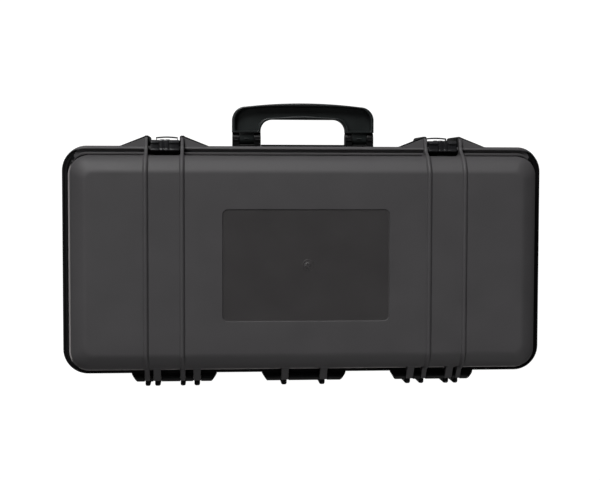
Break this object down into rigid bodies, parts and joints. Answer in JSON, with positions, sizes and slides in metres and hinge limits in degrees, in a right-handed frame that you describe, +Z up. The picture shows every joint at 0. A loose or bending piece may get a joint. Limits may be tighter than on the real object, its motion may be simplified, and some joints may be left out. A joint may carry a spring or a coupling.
{
  "type": "hard-shell equipment case",
  "caption": "Long hinged hard-shell equipment case with a ribbed lid, trigger-release latches, a fold-down carrying handle, a gasket and foam pads.",
  "frame": {"origin": "centre of the whole object's box, on the surface that the case lies on", "axes": "+X along the case's length, -Y towards the handle and latches, +Y towards the hinges, +Z up through the lid"},
  "size_m": [0.68, 0.404, 0.133],
  "materials": {
    "lid_plastic": "fine moulded texture, dark warm gray",
    "base_plastic": "moulded black, satin",
    "latch_plastic": "smooth black, half gloss",
    "handle_plastic": "black with a slight green-blue cast",
    "gasket_rubber": "soft matt rubber",
    "foam": "open-cell charcoal foam",
    "steel": "plain bright steel"
  },
  "bodies": {
    "base": {"base_shell": "base_plastic", "lid_gasket": "gasket_rubber", "base_foam": "foam", "hinge_pin_left": "steel", "hinge_pin_centre": "steel", "hinge_pin_right": "steel", "handle_mount": "base_plastic", "handle_mount_screw_1": "steel", "handle_mount_screw_2": "steel", "handle_mount_screw_3": "steel", "handle_mount_screw_4": "steel", "handle_pin_left": "steel", "handle_pin_right": "steel", "latch_pin_left": "steel", "latch_pin_right": "steel"},
    "lid": {"lid_shell": "lid_plastic", "lid_foam": "foam"},
    "carry_handle": {"handle": "handle_plastic"},
    "latch_left": {"latch_body_left": "latch_plastic", "trigger_pin_left": "steel"},
    "latch_right": {"latch_body_right": "latch_plastic", "trigger_pin_right": "steel"},
    "trigger_left": {"latch_trigger_left": "latch_plastic"},
    "trigger_right": {"latch_trigger_right": "latch_plastic"}
  },
  "joints": [
    {"name": "lid_hinge", "type": "hinge", "parent": "base", "child": "lid", "pos_m": [0, 0.187, 0.086], "axis": [-1, 0, 0], "range_deg": [0, 110]},
    {"name": "handle_pivot", "type": "hinge", "parent": "base", "child": "carry_handle", "pos_m": [0, -0.151, 0.056], "axis": [1, 0, 0], "range_deg": [0, 90]},
    {"name": "latch_left_pivot", "type": "hinge", "parent": "base", "child": "latch_left", "pos_m": [-0.197, -0.146, 0.046], "axis": [1, 0, 0], "range_deg": [0, 100]},
    {"name": "latch_right_pivot", "type": "hinge", "parent": "base", "child": "latch_right", "pos_m": [0.197, -0.146, 0.046], "axis": [1, 0, 0], "range_deg": [0, 100]},
    {"name": "trigger_left_pivot", "type": "hinge", "parent": "latch_left", "child": "trigger_left", "pos_m": [-0.197, -0.146, 0.09], "axis": [1, 0, 0], "range_deg": [0, 15], "stiffness_Nm_per_rad": 0.2, "springref_deg": -11.46},
    {"name": "trigger_right_pivot", "type": "hinge", "parent": "latch_right", "child": "trigger_right", "pos_m": [0.197, -0.146, 0.09], "axis": [1, 0, 0], "range_deg": [0, 15], "stiffness_Nm_per_rad": 0.2, "springref_deg": -11.46}
  ]
}
